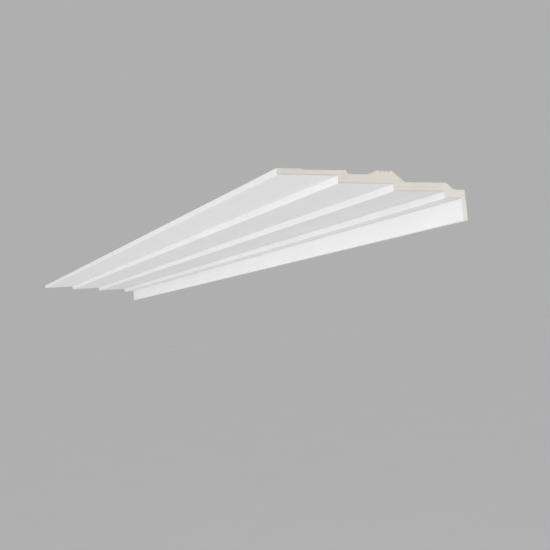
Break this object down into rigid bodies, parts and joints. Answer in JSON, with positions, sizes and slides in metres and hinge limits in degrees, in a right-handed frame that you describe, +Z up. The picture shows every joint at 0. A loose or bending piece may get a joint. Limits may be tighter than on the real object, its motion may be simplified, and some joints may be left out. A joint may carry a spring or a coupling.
{
  "type": "cornice moulding length",
  "caption": "Straight length of wide stepped cornice in rigid foam, primed on the room side, cut square at both ends; glued into the corner of wall and ceiling.",
  "frame": {"origin": "middle of the flat wall face on the back of the leg, at half length and half height of that face", "axes": "+X along the moulding, +Y out of the wall face into the wall, +Z up to the ceiling; the room side looks towards -Y and -Z"},
  "size_m": [1.18, 0.22, 0.05],
  "materials": {
    "primed_foam": "satin white primer on the room side; bare cream rigid foam at the cut ends and on the back"
  },
  "bodies": {
    "root": {"cornice_length": "primed_foam"}
  },
  "joints": []
}
